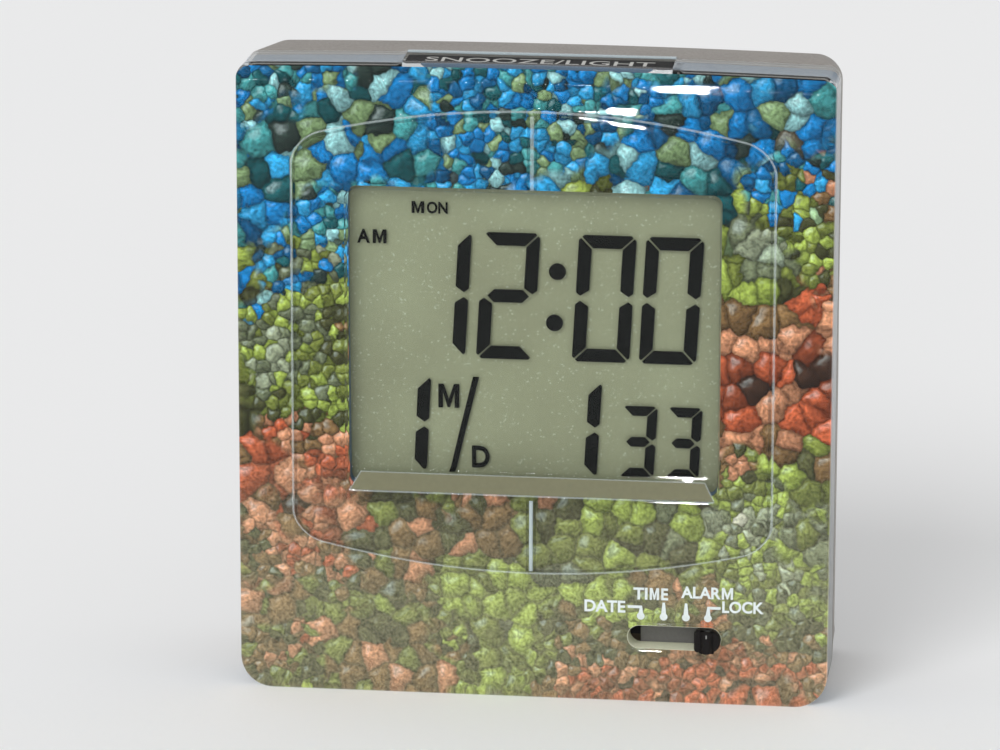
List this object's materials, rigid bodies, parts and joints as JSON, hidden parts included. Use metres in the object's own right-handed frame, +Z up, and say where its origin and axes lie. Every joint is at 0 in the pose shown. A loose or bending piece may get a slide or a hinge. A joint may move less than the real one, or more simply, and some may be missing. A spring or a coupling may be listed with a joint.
{
  "type": "digital alarm clock",
  "caption": "Desk alarm clock with a clear front cover over a printed card, liquid crystal display, slide switch, snooze bar, setting buttons and a battery door.",
  "frame": {"origin": "middle of the clock's box at its base", "axes": "+Z up; the display faces -Y; +X is to the right as seen from the front"},
  "size_m": [0.082, 0.032, 0.0894],
  "materials": {
    "clear_cover": "clear moulded styrene, polished",
    "printed_card": "satin print",
    "frame_plastic": "fine satin",
    "polariser_film": "glossy film",
    "display_glass": "polished",
    "guide_acrylic": "polished",
    "white_film": "matte",
    "lamp_resin": "moulded",
    "strip_rubber": "matte",
    "board_laminate": "satin mask",
    "black_epoxy": "cast drop",
    "crystal_can": "bright",
    "capacitor_ceramic": "matte",
    "resistor_ceramic": "matte",
    "gold_pads": "bright",
    "screw_steel": "zinc plated",
    "black_plastic": "fine satin",
    "contact_bronze": "bright",
    "switch_plastic": "moulded",
    "plunger_plastic": "moulded",
    "grey_plastic": "fine texture",
    "cell_wrap": "printed sleeve",
    "contact_steel": "nickel plated",
    "lead_red": "insulation",
    "sounder_brass": "bright",
    "sounder_ceramic": "silvered",
    "lead_black": "insulation"
  },
  "bodies": {
    "case": {"front_cover": "clear_cover", "picture_card": "printed_card", "main_frame": "frame_plastic", "lcd_front_polariser": "polariser_film", "lcd_front_glass": "display_glass", "lcd_rear_glass": "display_glass", "lcd_rear_polariser": "polariser_film", "light_guide": "guide_acrylic", "reflector_sheet": "white_film", "backlight_lamps": "lamp_resin", "contact_strip": "strip_rubber", "circuit_board": "board_laminate", "clock_chip": "black_epoxy", "clock_crystal": "crystal_can", "chip_capacitors": "capacitor_ceramic", "chip_resistors": "resistor_ceramic", "switch_pads": "gold_pads", "board_screws": "screw_steel", "snooze_switch": "switch_plastic", "set_switches": "switch_plastic", "rear_case": "grey_plastic", "upper_cell": "cell_wrap", "lower_cell": "cell_wrap", "positive_contact": "contact_steel", "negative_contact": "contact_steel", "link_contact": "contact_steel", "contact_springs": "contact_steel", "battery_leads": "lead_red", "sounder_disc": "sounder_brass", "sounder_ceramic": "sounder_ceramic", "sounder_leads": "lead_black", "case_screws": "screw_steel"},
    "mode_slider": {"mode_knob": "black_plastic", "mode_wiper": "contact_bronze"},
    "snooze_button": {"snooze_bar": "black_plastic", "snooze_plunger": "plunger_plastic"},
    "hour_setting": {"hour_button": "black_plastic", "hour_plunger": "plunger_plastic"},
    "minute_setting": {"minute_button": "black_plastic", "minute_plunger": "plunger_plastic"},
    "door": {"battery_door": "grey_plastic"}
  },
  "joints": [
    {"name": "mode_slide", "type": "slide", "parent": "case", "child": "mode_slider", "axis": [1, 0, 0], "range_m": [-0.0093, 0]},
    {"name": "snooze_press", "type": "slide", "parent": "case", "child": "snooze_button", "axis": [0, 0, -1], "range_m": [0, 0.0008], "stiffness_N_per_m": 1500, "springref_m": -0.0003},
    {"name": "hour_press", "type": "slide", "parent": "case", "child": "hour_setting", "axis": [0, -1, 0], "range_m": [0, 0.0007], "stiffness_N_per_m": 1500, "springref_m": -0.0003},
    {"name": "minute_press", "type": "slide", "parent": "case", "child": "minute_setting", "axis": [0, -1, 0], "range_m": [0, 0.0007], "stiffness_N_per_m": 1500, "springref_m": -0.0003},
    {"name": "battery_door_hinge", "type": "hinge", "parent": "case", "child": "door", "pos_m": [0, 0.016, 0.00855], "axis": [-1, 0, 0], "range_deg": [0, 80]}
  ]
}
